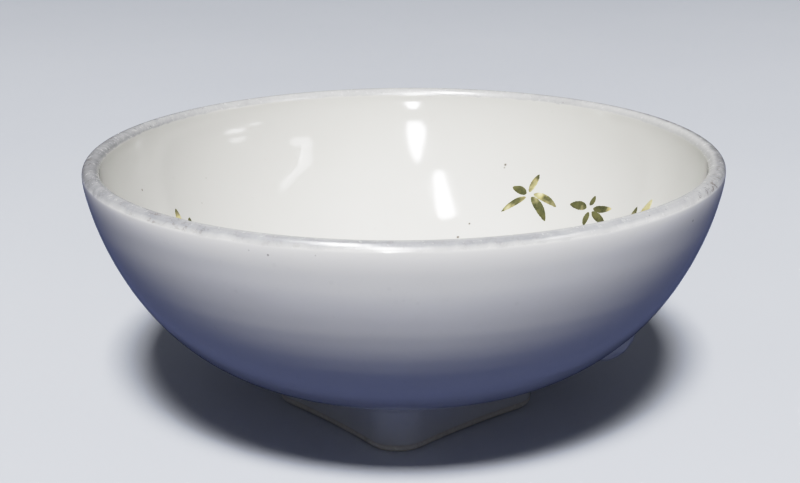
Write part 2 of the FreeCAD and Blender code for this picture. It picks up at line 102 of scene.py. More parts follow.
# ------------------------------------------------------------------ the bowl's profile
def wall_curve(radius, depth, count):
    """Points (r, z) along a wall from lip to axis, evenly spaced by length."""
    t = np.linspace(0, 1, 4001)
    weights = [math.comb(4, i) * t**i * (1 - t) ** (4 - i) for i in range(5)]
    r = radius * sum(weight * pole[0] for weight, pole in zip(weights, WALL_POLES))
    z = LIP_Z - depth * sum(weight * pole[1] for weight, pole in zip(weights, WALL_POLES))
    length = np.r_[0, np.cumsum(np.hypot(np.diff(r), np.diff(z)))]
    stations = np.linspace(0, 1, count) * length[-1]
    return np.c_[np.interp(stations, length, r), np.interp(stations, length, z)]


def bowl_profile():
    """Half profile (r, z): outside bottom centre, up the wall, over the lip, down the inside."""
    outer = wall_curve(RIM_RADIUS, OUTER_DEPTH, OUTER_POINTS)[::-1]
    turn = np.radians(np.linspace(0, 180, LIP_POINTS + 2))[1:-1]
    lip = np.c_[RIM_RADIUS - LIP_WIDTH / 2 + LIP_WIDTH / 2 * np.cos(turn),
                LIP_Z + LIP_WIDTH / 2 * np.sin(turn)]
    inner = wall_curve(INNER_RADIUS, INNER_DEPTH, INNER_POINTS)
    points = np.r_[outer, lip, inner]
    points[0, 0] = points[-1, 0] = 0.0
    return points


PROFILE = bowl_profile()
# length along the profile from the lip's crown: below 0 outside, above 0 inside
ALONG = np.r_[0, np.cumsum(np.linalg.norm(np.diff(PROFILE, axis=0), axis=1))]
ALONG = ALONG - ALONG[OUTER_POINTS + LIP_POINTS // 2]


def profile_normals():
    """Normals (r, z) that point out of the porcelain."""
    tangent = np.gradient(PROFILE, ALONG, axis=0)
    tangent /= np.linalg.norm(tangent, axis=1)[:, None]
    normals = np.c_[tangent[:, 1], -tangent[:, 0]]
    normals[0] = (0, -1)
    normals[-1] = (0, 1)
    return normals


NORMALS = profile_normals()


def bowl_radius(along):
    return np.interp(along, ALONG, PROFILE[:, 0])


def outer_at_radius(r):
    """Profile length of the outside wall at a radius."""
    return np.interp(r, PROFILE[:OUTER_POINTS, 0], ALONG[:OUTER_POINTS])


def outer_at_height(z):
    return np.interp(z, PROFILE[:OUTER_POINTS, 1], ALONG[:OUTER_POINTS])


def inner_at_height(z):
    first = OUTER_POINTS + LIP_POINTS
    return np.interp(z, PROFILE[first:, 1][::-1], ALONG[first:][::-1])


GROOVE = float(outer_at_height(32.7))     # middle of the broad groove below the lip
GROOVE_DEPTH = 0.019


def turning_marks(angle, along):
    """Shallow marks outside: one broad groove below the lip, and fainter rings lower down."""
    width = 1.45 + 0.25 * np.sin(angle + 0.6)
    groove = -GROOVE_DEPTH * np.exp(-((along - GROOVE) / width) ** 2)
    below_groove = np.clip((GROOVE - 2.5 - along) / 6.0, 0, 1)
    clear_of_foot = np.clip((along - ALONG[0] - 16.0) / 8.0, 0, 1)
    coarse = 0.0042 * np.sin(2 * np.pi * along / 3.7 + 0.8 * np.sin(angle))
    fine = 0.0026 * np.sin(2 * np.pi * along / 2.3 + 0.5 * np.cos(angle + 1.0))
    faint = (coarse + fine) * (below_groove * clear_of_foot)
    return np.where(along < 0, groove + faint, 0.0)


def skin(angle, along, lift=0.0):
    """Points of the bowl's slightly uneven surface, lifted off it by lift."""
    angle, along = np.broadcast_arrays(np.asarray(angle, float), np.asarray(along, float))
    r = bowl_radius(along)
    z = np.interp(along, ALONG, PROFILE[:, 1])
    normal_r = np.interp(along, ALONG, NORMALS[:, 0])
    normal_z = np.interp(along, ALONG, NORMALS[:, 1])
    length = np.hypot(normal_r, normal_z)
    # the walls' wobble dies out at the axis and at the crown
    fade = np.clip(r / 9.0, 0, 1) ** 2 * np.clip(np.abs(along) / 5.0, 0, 1)
    inside = np.clip(along / 3.0, -1, 1) * 0.5 + 0.5
    wobble = (1 - inside) * OUTER_WOBBLE(angle, along) + inside * INNER_WOBBLE(angle, along)
    offset = wobble * fade + 0.04 * LIP_WOBBLE(angle, along) * np.exp(-(along / 3.0) ** 2)
    offset = offset + turning_marks(angle, along) + lift
    r = r + normal_r / length * offset
    # the lip also rises and falls a little
    lip_rise = 0.7 * LIP_WOBBLE(angle) * np.exp(-((along / 9.0) ** 2))
    z = z + normal_z / length * offset + lip_rise
    return np.stack([r * np.cos(angle), r * np.sin(angle), z], -1)


# ------------------------------------------------------------------ mesh building
def new_object(name, vertices, faces):
    """A linked mesh object from vertices in mm."""
    mesh = bpy.data.meshes.new(name)
    mesh.from_pydata([tuple(v) for v in np.asarray(vertices) * MM], [], faces)
    mesh.update()
    piece = bpy.data.objects.new(name, mesh)
    bpy.context.scene.collection.objects.link(piece)
    return piece


def smooth_object(name, vertices, faces):
    piece = new_object(name, vertices, faces)
    piece.data.polygons.foreach_set("use_smooth", [True] * len(piece.data.polygons))
    piece.data.validate(clean_customdata=False)
    return piece


def grid_faces(across, rows, first=0, closed=False):
    """Quads of rows of vertices round the axis; closed joins the last row to the first."""
    faces = []
    for i in range(rows if closed else rows - 1):
        low = first + i * across
        high = first + (i + 1) % rows * across
        for j in range(across):
            k = (j + 1) % across
            faces.append((low + j, low + k, high + k, high + j))
    return faces


def point_float(piece, name, values):
    attribute = piece.data.attributes.new(name, "FLOAT", "POINT")
    attribute.data.foreach_set("value", np.asarray(values, np.float32))


# ------------------------------------------------------------------ bowl
BOWL_ACROSS = 352


def build_bowl():
    angles = full_turn(BOWL_ACROSS)
    rows = [skin(angles, along) for along in ALONG[1:-1]]
    bottom = [[0, 0, PROFILE[0, 1]]]
    well = [[0, 0, PROFILE[-1, 1]]]
    vertices = np.concatenate([bottom, *rows, well])
    faces = grid_faces(BOWL_ACROSS, len(rows), first=1)
    last = len(vertices) - 1
    last_row = last - BOWL_ACROSS
    for j in range(BOWL_ACROSS):
        k = (j + 1) % BOWL_ACROSS
        faces.append((0, 1 + k, 1 + j))
        faces.append((last, last_row + j, last_row + k))
    bowl = smooth_object("porcelain_bowl", vertices, faces)

    inside = np.clip((ALONG + 0.6) / 1.2, 0.0, 1.0)
    # masks for painted light just outside the lip and painted shade just inside it
    outer_lip_painted_light = np.exp(-((np.minimum(ALONG + 1.8, 0.0) / 1.7) ** 2))
    inner_lip_painted_shade = np.exp(-((np.maximum(ALONG - 2.5, 0.0) / 10.0) ** 2))
    for name, values in (("inside", inside),
                         ("outer_lip_painted_light", np.where(ALONG < 0.8, outer_lip_painted_light, 0.0)),
                         ("inner_lip_painted_shade", np.where(ALONG > 0.6, inner_lip_painted_shade, 0.0))):
        point_float(bowl, name, np.r_[values[0], np.repeat(values[1:-1], BOWL_ACROSS), values[-1]])
    return bowl


# ------------------------------------------------------------------ foot
# The foot's outline is a rounded square whose sides are slightly hollow arcs.
CORNER_REACH = 18.3                       # axis to the tip of a corner
CORNER_RADIUS = 4.5
SIDE_RADIUS = 120.0
FOOT_TURN = math.radians(-94.0)           # direction of one corner
OUTER_DRAFT = math.tan(math.radians(5.0))
INNER_DRAFT = math.tan(math.radians(9.0))
RING_WIDTH = 2.9
OUTER_EDGE = 0.72                         # rounding of the resting face's outer edge
INNER_EDGE = 0.9 * OUTER_EDGE
GLAZE_THICKNESS = 0.05                    # step where the glaze stops
HAND_SHARE = 0.4                          # how much of the foot's unevenness its walls take

# Corner centres lie on the axes of the square, side centres on its diagonals.
CORNER_CENTRE = CORNER_REACH - CORNER_RADIUS
SIDE_CENTRE = (2 * CORNER_CENTRE + math.sqrt(
    4 * CORNER_CENTRE**2 - 8 * (CORNER_CENTRE**2 - (SIDE_RADIUS + CORNER_RADIUS) ** 2))) / 4
TOUCH_ANGLE = math.atan2(SIDE_CENTRE, SIDE_CENTRE - CORNER_CENTRE)

FOOT_ANGLES = full_turn(480)
FOOT_HAND = Wobble(seed=21, amount=0.10, round_max=8, along_max=0.02, count=8)(FOOT_ANGLES)
GLAZE_LINE = 1.15 + 0.14 * Wobble(seed=31, amount=1.0, round_max=9, along_max=0.02,
                                  count=10)(FOOT_ANGLES)


def outline_radius(grow):
    """Distance from the axis to the foot's outline, moved outwards by grow."""
    a = np.abs((FOOT_ANGLES - FOOT_TURN + np.pi / 4) % (np.pi / 2) - np.pi / 4)
    grow = np.broadcast_to(grow, a.shape)
    corner_radius, side_radius = CORNER_RADIUS + grow, SIDE_RADIUS - grow
    touch = np.arctan2(corner_radius * math.sin(TOUCH_ANGLE),
                       CORNER_CENTRE + corner_radius * math.cos(TOUCH_ANGLE))
    corner = CORNER_CENTRE * np.cos(a) + np.sqrt(
        np.maximum(corner_radius**2 - (CORNER_CENTRE * np.sin(a)) ** 2, 0))
    side = SIDE_CENTRE * (np.cos(a) + np.sin(a)) - np.sqrt(
        side_radius**2 - (SIDE_CENTRE * (np.sin(a) - np.cos(a))) ** 2)
    return np.where(a < touch, corner, side)


def underside_z(r):
    """Height of the bowl's uneven underside above the foot's angles."""
    return skin(FOOT_ANGLES, outer_at_radius(r))[..., 2]


def underside_slope(r):
    return (underside_z(r + 0.05) - underside_z(r - 0.05)) / 0.1


def foot_ring(grow, z):
    r = outline_radius(grow)
    return np.c_[r * np.cos(FOOT_ANGLES), r * np.sin(FOOT_ANGLES),
                 np.broadcast_to(z, FOOT_ANGLES.shape)]


def underside_ring(grow, lift):
    """A ring that follows the bowl's underside, raised by lift."""
    return foot_ring(grow, underside_z(outline_radius(grow)) + lift)


def outer_wall(z):
    return GLAZE_THICKNESS + z * OUTER_DRAFT + FOOT_HAND * HAND_SHARE


def inner_wall(z):
    return -RING_WIDTH - z * INNER_DRAFT + FOOT_HAND * HAND_SHARE


def fillet(wall, radius, steps, side):
    """Stations (grow, z) from a wall round to the bowl; side is 1 outside the ring, -1 inside."""
    centre_z = np.full(len(FOOT_ANGLES), 5.0)
    for _ in range(25):
        r = outline_radius(wall(centre_z) + side * radius)
        touching = underside_z(r) - radius * np.sqrt(1 + underside_slope(r) ** 2)
        centre_z = 0.5 * centre_z + 0.5 * touching
    centre = wall(centre_z) + side * radius
    lean = np.arctan(underside_slope(outline_radius(centre))) * side
    stations = []
    for u in np.linspace(0, 1, steps):
        a = np.pi + (-(np.pi / 2) + lean) * u
        stations.append((centre + side * radius * np.cos(a), centre_z + radius * np.sin(a)))
    return stations


def build_foot():
    rows = []
    # resting face, inner to outer, and its rounded outer edge
    flat = RING_WIDTH - OUTER_EDGE - INNER_EDGE
    for share in (0.0, 0.34, 0.67):
        grow = -RING_WIDTH + INNER_EDGE + flat * share + FOOT_HAND * 0.3
        rows.append(foot_ring(grow, FOOT_BOTTOM))
    for a in np.linspace(0, math.pi / 2, 9):
        reach = OUTER_EDGE + OUTER_EDGE * OUTER_DRAFT + FOOT_HAND * HAND_SHARE
        rows.append(foot_ring(-OUTER_EDGE + reach * math.sin(a),
                              FOOT_BOTTOM + OUTER_EDGE - OUTER_EDGE * math.cos(a)))
    # the glaze's rolled edge: height from the line, share of the glaze's thickness
    for rise, share in ((-0.06, 0.0), (0.0, 0.45), (0.06, 0.95), (0.16, 1.25), (0.34, 1.12),
                        (0.6, 1.0)):
        z = GLAZE_LINE + rise
        rows.append(foot_ring(outer_wall(z) - GLAZE_THICKNESS + GLAZE_THICKNESS * share, z))
    # glazed outer wall, its fillet, and a skirt that runs into the bowl
    outer_fillet = fillet(outer_wall, radius=2.1, steps=16, side=1.0)
    for u in np.linspace(0, 1, 11)[1:-1]:
        z = (GLAZE_LINE + 0.6) * (1 - u) + outer_fillet[0][1] * u
        rows.append(foot_ring(outer_wall(z), z))
    rows += [foot_ring(grow, z) for grow, z in outer_fillet]
    outer_end = outer_fillet[-1][0]
    for grow, lift in ((0.25, 0.02), (0.55, 0.02), (0.9, 0.10), (1.0, 0.30)):
        rows.append(underside_ring(outer_end + grow, lift))
    # hidden top, inside the bowl's wall
    inner_fillet = fillet(inner_wall, radius=1.5, steps=12, side=-1.0)
    inner_end = inner_fillet[-1][0]
    for u in np.linspace(0, 1, 7):
        rows.append(underside_ring((outer_end + 0.7) * (1 - u) + (inner_end - 0.7) * u, 0.8))
    # inner skirt, fillet, wall and rounded edge, going down
    for grow, lift in ((-0.9, 0.10), (-0.55, 0.02), (-0.25, 0.02)):
        rows.append(underside_ring(inner_end + grow, lift))
    rows += [foot_ring(grow, z) for grow, z in inner_fillet[::-1]]
    for u in np.linspace(0, 1, 9)[1:]:
        z = inner_fillet[0][1] * (1 - u) + (INNER_EDGE + 0.15) * u
        rows.append(foot_ring(inner_wall(z), z))
    for a in np.linspace(math.pi / 2, 0, 8)[1:-1]:
        grow = -RING_WIDTH + INNER_EDGE * (1 - math.sin(a)) + FOOT_HAND * HAND_SHARE
        rows.append(foot_ring(grow, FOOT_BOTTOM + INNER_EDGE * (1 - math.cos(a))))
    vertices = np.concatenate(rows)
    vertices[:, 2] = np.maximum(vertices[:, 2], FOOT_BOTTOM)
    faces = grid_faces(len(FOOT_ANGLES), len(rows), closed=True)
    foot = smooth_object("porcelain_foot", vertices, faces)
    point_float(foot, "table_line", np.tile(GLAZE_LINE, len(rows)))
    return foot


# ------------------------------------------------------------------ metal line on the lip
BAND_ACROSS = 720
BAND_STEPS = 34


def band_edge(along, wobble, seed):
    """A wavering edge round the lip with a fine ragged outline."""
    pad = 8
    rough = np.random.RandomState(seed).normal(size=BAND_ACROSS)
    kernel = np.exp(-np.linspace(-3, 3, 9) ** 2)
    wrapped = np.r_[rough[-pad:], rough, rough[:pad]]
    ragged = 0.10 * np.convolve(wrapped, kernel / kernel.sum(), "same")[pad:-pad]
    return along + 0.6 * wobble(full_turn(BAND_ACROSS)) + ragged


def build_band():
    angles = full_turn(BAND_ACROSS)
    outer = band_edge(-2.0, Wobble(seed=41, amount=0.5, round_max=11, along_max=0.02, count=14),
                      seed=1)
    inner = band_edge(2.1, Wobble(seed=42, amount=0.6, round_max=12, along_max=0.02, count=14),
                      seed=2)
    shares = [i / BAND_STEPS for i in range(BAND_STEPS + 1)]
    rows = []
    for u in shares:
        # the face rises softly out of the glaze at both edges
        rise = min(1.0, min(u, 1 - u) / 0.22)
        rise = rise * rise * (3 - 2 * rise)
        rows.append(skin(angles, outer * (1 - u) + inner * u, -0.012 + 0.022 * rise))
    for u in shares[::-1]:
        rows.append(skin(angles, outer * (1 - u) + inner * u, -0.05))
    faces = grid_faces(BAND_ACROSS, len(rows), closed=True)
    band = smooth_object("rim_metal_line", np.concatenate(rows), faces)
    point_float(band, "across", np.repeat(shares + shares[::-1], BAND_ACROSS))
    return band


# ------------------------------------------------------------------ pad on the outside wall
PAD_ACROSS = 96
PAD_STEPS = 30
PAD_ANGLE = math.radians(-20.0)
PAD_ALONG = float(outer_at_radius(30.5)) + 0.2
PAD_HALF_WIDTH, PAD_HALF_HEIGHT, PAD_RISE = 3.9, 3.6, 1.72
PAD_EDGE = 1.10                           # share of the half sizes where the face ends
PAD_SUNK = -0.45                          # lift of the hidden underside


def build_pad():
    psi = full_turn(PAD_ACROSS)
    lobes = np.cos(5 * psi + 0.6)

    def ring(share, lift):
        size = share * (1.0 + 0.035 * lobes * min(1, share * 1.4))
        along = PAD_ALONG + PAD_HALF_HEIGHT * size * np.sin(psi)
        sideways = PAD_HALF_WIDTH * size * np.cos(psi)
        return skin(PAD_ANGLE + sideways / bowl_radius(along), along, lift)

    rows = [ring(share, PAD_SUNK) for share in (0.35, 0.7, 1.0)]
    for share in np.linspace(PAD_EDGE, 0.0, PAD_STEPS + 1)[:-1]:
        k = min(share / PAD_EDGE, 1.0)
        lift = PAD_RISE * (1 - k * k) ** 0.95 * (1 - 0.10 * k) - 0.03
        lift += 0.07 * math.exp(-((share - 0.60) / 0.15) ** 2) * lobes
        rows.append(ring(share, lift))
    faces = grid_faces(PAD_ACROSS, len(rows))
    top = len(rows) * PAD_ACROSS
    last_row = top - PAD_ACROSS
    for j in range(PAD_ACROSS):
        k = (j + 1) % PAD_ACROSS
        faces.append((top, last_row + j, last_row + k))
        faces.append((top + 1, k, j))
    tips = [ring(0.0, PAD_RISE)[:1], ring(0.0, PAD_SUNK)[:1]]
    return smooth_object("sprig_pad", np.concatenate(rows + tips), faces)


# ------------------------------------------------------------------ gilt leaves
# Each sprig: the angle it is centred on in degrees, then its leaves. Columns of a leaf: stalk
# end (sideways, z), tip (sideways, z), half width, how dark its stalk and its tip are, from age
# and painted dark reflection.
SPRIGS = {
    "gilt_sprig_back": (54.5, [
        (0.96, 22.99, -0.02, 25.74, 0.42, 0.30, 0.95),
        (1.31, 22.73, 4.11, 23.35, 0.42, 0.50, 0.80),
        (1.20, 22.22, 4.61, 19.72, 0.38, 0.40, 0.85),
        (0.32, 22.34, -3.72, 19.51, 0.48, 0.62, 0.55),
        (0.05, 22.82, -4.80, 21.66, 0.38, 0.50, 0.20)]),
    "gilt_sprig_right": (35.0, [
        (1.60, 22.59, 5.06, 22.51, 0.46, 0.95, 0.90),
        (1.15, 23.05, 0.91, 24.51, 0.36, 1.0, 0.95),
        (0.27, 22.79, -3.56, 23.55, 0.38, 1.0, 0.45),
        (0.91, 22.14, 0.39, 20.29, 0.42, 0.95, 0.95),
        (0.23, 22.29, -3.70, 21.34, 0.38, 0.85, 0.9)]),
    "gilt_sprig_side": (19.0, [
        (0.90, 22.20, 1.40, 25.20, 0.48, 0.35, 0.85),
        (-0.30, 22.40, -1.42, 27.00, 0.74, 0.10, 0.05),
        (-0.70, 21.70, -4.20, 22.90, 0.42, 0.95, 1.0),
        (0.80, 21.30, 3.60, 20.20, 0.40, 0.4, 0.5),
        (0.00, 21.20, -2.60, 18.90, 0.44, 0.4, 0.3)]),
    "gilt_sprig_left": (156.0, [
        (1.60, 21.60, 0.57, 25.05, 0.50, 0.10, 0.75),
        (-0.20, 21.10, -1.49, 23.20, 0.40, 0.95, 1.0),
        (2.40, 21.20, 5.40, 22.40, 0.42, 0.5, 0.4),
        (1.10, 20.50, -1.90, 18.70, 0.42, 0.5, 0.3),
        (2.10, 20.60, 4.60, 18.90, 0.42, 0.4, 0.5)]),
}
SPRIG_SEED = 60
LEAF_STEPS, LEAF_ACROSS = 34, 12


def leaf_vertices(turn, start, start_z, tip, tip_z, half_width, random):
    """A leaf's face, row by row from stalk to tip, then its underside in the same order."""
    length = math.hypot(tip - start, tip_z - start_z)
    run, rise = (tip - start) / length, (tip_z - start_z) / length
    bend = random.uniform(-0.10, 0.10) * length
    first_jag = random.normal(size=LEAF_STEPS + 1) * 0.02
    second_jag = random.normal(size=LEAF_STEPS + 1) * 0.02
    v = np.linspace(-1, 1, LEAF_ACROSS + 1)
    face, underside = [], []
    for i in range(LEAF_STEPS + 1):
        u = i / LEAF_STEPS
        swell = 4 * u * (1 - u)
        half = max(1.38 * half_width * swell**0.62 * (1.14 - 0.32 * u), 0.035)
        half = half + np.where(v < 0, first_jag[i], second_jag[i]) * (half > 0.05)
        sideways = start + (tip - start) * u - rise * bend * swell * 0.5 - rise * v * half
        z = start_z + (tip_z - start_z) * u + run * bend * swell * 0.5 + run * v * half
        along = inner_at_height(z)
        angle = turn + np.arcsin(np.clip(sideways / bowl_radius(along), -1, 1))
        # domed across, with a shallow crease down the middle, thinning to both ends
        dome = 0.055 * (1 - np.abs(v) ** 3)
        crease = 0.022 * np.exp(-(v / 0.16) ** 2) * math.sin(math.pi * u)
        lift = (dome - crease - 0.004) * min(1.0, 6 * u, 6 * (1 - u)) + 0.004
        face.append(skin(angle, along, lift))
        underside.append(skin(angle, along, -0.03))
    return np.concatenate(face + underside)


def leaf_faces(base):
    """Quads of one leaf's face, underside and four edges, from its first vertex on."""
    row = LEAF_ACROSS + 1
    under = (LEAF_STEPS + 1) * row
    faces = []
    for i in range(LEAF_STEPS):
        for j in range(LEAF_ACROSS):
            a = base + i * row + j
            faces.append((a, a + 1, a + row + 1, a + row))
            a += under
            faces.append((a, a + row, a + row + 1, a + 1))
    for i in range(LEAF_STEPS):
        a = base + i * row
        faces.append((a, a + row, a + row + under, a + under))
        a += LEAF_ACROSS
        faces.append((a, a + under, a + row + under, a + row))
    for j in range(LEAF_ACROSS):
        a = base + j
        faces.append((a, a + under, a + 1 + under, a + 1))
        a += LEAF_STEPS * row
        faces.append((a, a + 1, a + 1 + under, a + under))
    return faces


def build_sprig(name, turn, leaves, seed):
    random = np.random.RandomState(seed)
    vertices, faces, aged_and_reflection_dark = [], [], []
    for *shape, stalk_darkness, tip_darkness in leaves:
        faces += leaf_faces(len(aged_and_reflection_dark))
        vertices.append(leaf_vertices(math.radians(turn), *shape, random))
        darkness = stalk_darkness + (tip_darkness - stalk_darkness) * np.linspace(0, 1, LEAF_STEPS + 1) ** 2
        aged_and_reflection_dark += list(np.repeat(darkness, LEAF_ACROSS + 1)) * 2
    sprig = smooth_object(name + "_leaves", np.concatenate(vertices), faces)
    point_float(sprig, "aged_and_reflection_dark", aged_and_reflection_dark)
    return sprig


# ------------------------------------------------------------------ shader graphs
class Wire:
    """A node's output. Each arithmetic sign on it adds one Math node."""

    def __init__(self, graph, socket):
        self.graph = graph
        self.socket = socket

    def __add__(self, other):
        return self.graph.math("ADD", self, other)

    def __sub__(self, other):
        return self.graph.math("SUBTRACT", self, other)

    def __rsub__(self, other):
        return self.graph.math("SUBTRACT", other, self)

    def __mul__(self, other):
        return self.graph.math("MULTIPLY", self, other)

    def __truediv__(self, other):
        return self.graph.math("DIVIDE", self, other)

    def remap(self, span, to=(0.0, 1.0)):
        """Map span onto to, held at its ends."""
        return self.graph.wire("MapRange", {0: self, 1: span[0], 2: span[1], 3: to[0], 4: to[1]})


class Graph:
    """A node tree, with short calls that add nodes and return their outputs as wires."""

    def __init__(self, tree):
        self.tree = tree

    @cached_property
    def place(self):
        """The object's own coordinates, in metres."""
        return self.wire("TexCoord", output="Object")

    def feed(self, socket, value):
        """Link a wire to an input, or set the input; colours are given without alpha."""
        if isinstance(value, Wire):
            self.tree.links.new(value.socket, socket)
        elif socket.type == "RGBA":
            socket.default_value = (*value, 1)
        else:
            socket.default_value = value

    def node(self, kind, inputs=None, **settings):
        made = self.tree.nodes.new("ShaderNode" + kind)
        for setting, value in settings.items():
            setattr(made, setting, value)
        for key, value in (inputs or {}).items():
            self.feed(made.inputs[key], value)
        return made

    def wire(self, kind, inputs=None, output=0, **settings):
        return Wire(self, self.node(kind, inputs, **settings).outputs[output])

    def math(self, operation, *values, clamp=False):
        return self.wire("Math", dict(enumerate(values)), operation=operation, use_clamp=clamp)

    def mix(self, factor, low, high):
        """Colour low where factor is 0, high where it is 1."""
        return self.wire("Mix", {0: factor, 6: low, 7: high}, output=2, data_type="RGBA")

    def noise(self, scale, detail, roughness):
        return self.wire("TexNoise", {"Scale": scale, "Detail": detail, "Roughness": roughness,
                                      "Vector": self.place}, output="Fac")

    def attribute(self, name):
        return self.wire("Attribute", output="Fac", attribute_name=name)

    def axes(self, vector):
        made = self.node("SeparateXYZ", {0: vector})
        return [Wire(self, made.outputs[axis]) for axis in "XYZ"]

    def bump(self, height, strength, distance, **more):
        """A bumped normal; distance is in metres."""
        return self.wire("Bump", {"Strength": strength, "Distance": distance,
                                  "Height": height, **more})

    def specks(self, scale, size, shift):
        """Sparse small grains: the middles of the few cells whose random value is high."""
        moved = self.wire("VectorMath", {0: self.place, 1: shift}, operation="ADD")
        cells = self.node("TexVoronoi", {"Scale": scale, "Vector": moved})
        chance = self.wire("SeparateColor", {0: Wire(self, cells.outputs["Color"])})
        near = Wire(self, cells.outputs["Distance"]).remap(span=(size, size * 0.5))
        return self.math("MULTIPLY", chance.remap(span=(0.93, 0.94)), near, clamp=True)

    def spot(self, centre, radius):
        """1 inside a small round patch at a point of the object, in metres."""
        distance = self.wire("VectorMath", {0: self.place, 1: centre}, output="Value",
                             operation="DISTANCE")
        return distance.remap(span=(radius * 1.25, radius * 0.55))

    def principled(self, inputs):
        return self.wire("BsdfPrincipled", inputs)

    def finish(self, shader):
        self.node("OutputMaterial", {0: shader})


def new_material(name):
    material = bpy.data.materials.new(name)
    material.use_nodes = True
    material.node_tree.nodes.clear()
    return material, Graph(material.node_tree)


# ------------------------------------------------------------------ materials
GLAZE_IOR = 1.52
MIDDLE = (0.35, 0.65)                     # the part of a noise's range that tints run over

# Small dark grains in the glaze: angle in degrees, height, radius, which wall, strength.
GRAINS = [
    (166.0, 29.45, 0.20, "inner", 0.75), (142.9, 27.52, 0.11, "inner", 0.5),
    (147.3, 24.37, 0.12, "inner", 0.55), (64.1, 26.50, 0.24, "inner", 0.9),
    (64.2, 26.05, 0.17, "inner", 0.7), (73.0, 15.82, 0.25, "inner", 1.0),
    (70.5, 17.64, 0.20, "inner", 0.95), (-35.9, 34.73, 0.16, "outer", 0.6),
    (-110.3, 35.75, 0.15, "outer", 0.6), (-113.4, 36.05, 0.10, "outer", 0.4),
    (-102.9, 36.2, 0.10, "outer", 0.4), (12.0, 30.2, 0.12, "outer", 0.6),
    (78.0, 22.5, 0.15, "outer", 0.6), (131.0, 31.0, 0.12, "outer", 0.5),
    (201.0, 26.0, 0.14, "outer", 0.6), (-78.0, 13.5, 0.10, "outer", 0.4),
    (-20.0, 20.4, 0.10, "inner", 0.6), (-128.0, 15.0, 0.12, "inner", 0.6),
    (245.0, 27.0, 0.10, "inner", 0.5),
]


def placed_grains(g):
    total = None
    for degrees, z, radius, wall, strength in GRAINS:
        along = inner_at_height(z) if wall == "inner" else outer_at_height(z)
        centre = skin(math.radians(degrees), along) * MM
        grain = g.spot(tuple(float(v) for v in centre), radius * MM) * strength
        total = grain if total is None else g.math("MAXIMUM", total, grain)
    return total


def grainy(g, colour, placed=None):
    """The glaze's colour with faint grey cloud and fine dark grains, and any placed grains."""
    fine = g.noise(scale=900, detail=3, roughness=0.6)
    colour = g.mix(fine.remap(span=(0.60, 0.8), to=(0.0, 0.05)), colour, high=(0.45, 0.44, 0.40))
    grains = g.specks(scale=620, size=0.22, shift=(0.2, 0.11, 0.07)) * 0.045
    if placed is not None:
        grains = g.math("MAXIMUM", grains, placed)
    return g.mix(grains, colour, high=(0.12, 0.105, 0.09))


def glaze_roughness(g):
    return g.noise(scale=120, detail=4, roughness=0.6).remap(span=(0.3, 0.7), to=(0.055, 0.10))


def glaze_normal(g):
    broad_share, fine_share = 1.0, 0.08
    height = (g.noise(scale=190, detail=2, roughness=0.5) * broad_share
              + g.noise(scale=1500, detail=2, roughness=0.5) * fine_share)
    return g.bump(height, strength=0.10, distance=0.0002)


def bowl_material():
    material, g = new_material("white_porcelain_glaze")
    cloud = g.noise(scale=55, detail=4, roughness=0.55)
    inside = g.attribute("inside")
    # painted shade: the inside is given a darker white than the outside
    shaded_inside_white = g.mix(cloud.remap(span=MIDDLE), low=(0.622, 0.622, 0.600), high=(0.642, 0.642, 0.623))
    cool = g.mix(cloud.remap(span=MIDDLE), low=(0.745, 0.748, 0.735), high=(0.76, 0.765, 0.75))
    colour = g.mix(inside, low=cool, high=shaded_inside_white)
    # painted light and shade: paler just outside the lip, greyer just inside it
    colour = g.mix(g.attribute("outer_lip_painted_light") * 0.8, colour, high=(0.79, 0.79, 0.78))
    colour = g.mix(g.attribute("inner_lip_painted_shade") * 0.62, colour, high=(0.566, 0.566, 0.547))
    # painted shade: greyer down both flanks of the inside, more on the left (-x) than on the right
    x = g.axes(g.place)[0]
    painted_flank_shade = (x.remap(span=(-0.006, -0.038), to=(0.0, 0.95))
              + x.remap(span=(0.018, 0.040), to=(0.0, 0.20)))
    colour = g.mix(painted_flank_shade * inside, colour, high=(0.485, 0.485, 0.477))
    g.finish(g.principled({
        "Base Color": grainy(g, colour, placed_grains(g)),
        "Roughness": glaze_roughness(g),
        "Normal": glaze_normal(g),
        "IOR": GLAZE_IOR}))
    return material


def foot_material():
    """Glaze above the table line, bare biscuit with a thin brown edge below it."""
    material, g = new_material("foot_glaze_and_biscuit")
    cloud = g.noise(scale=55, detail=4, roughness=0.55)
    colour = g.mix(cloud.remap(span=MIDDLE), low=(0.70, 0.705, 0.665), high=(0.75, 0.75, 0.71))
    colour = grainy(g, colour)
    # height above the ragged glaze line, in mm
    above = g.axes(g.place)[2] * 1000.0 - g.attribute("table_line")
    above = above + (g.noise(scale=900, detail=3, roughness=0.6) - 0.5) * 0.35
    bare = above.remap(span=(0.03, -0.05))
    edge = above.remap(span=(-0.32, -0.03)) * above.remap(span=(0.16, 0.02))
    grit = g.noise(scale=2200, detail=4, roughness=0.7)
    dirt = g.noise(scale=420, detail=4, roughness=0.65)
    clay = g.mix(grit.remap(span=(0.35, 0.7)), low=(0.60, 0.57, 0.50), high=(0.72, 0.70, 0.63))
    clay = g.mix(dirt.remap(span=(0.56, 0.72), to=(0.0, 0.55)), clay, high=(0.33, 0.29, 0.23))
    colour = g.mix(bare, colour, clay)
    colour = g.mix(edge * 0.22, colour, high=(0.42, 0.32, 0.22))
    biscuit_roughness = 0.85
    g.finish(g.principled({
        "Base Color": colour,
        "Roughness": g.wire("Mix", {0: bare, 2: glaze_roughness(g), 3: biscuit_roughness},
                            data_type="FLOAT"),
        "Normal": g.bump(grit * bare, strength=0.35, distance=0.00018, Normal=glaze_normal(g)),
        "IOR": GLAZE_IOR}))
    return material


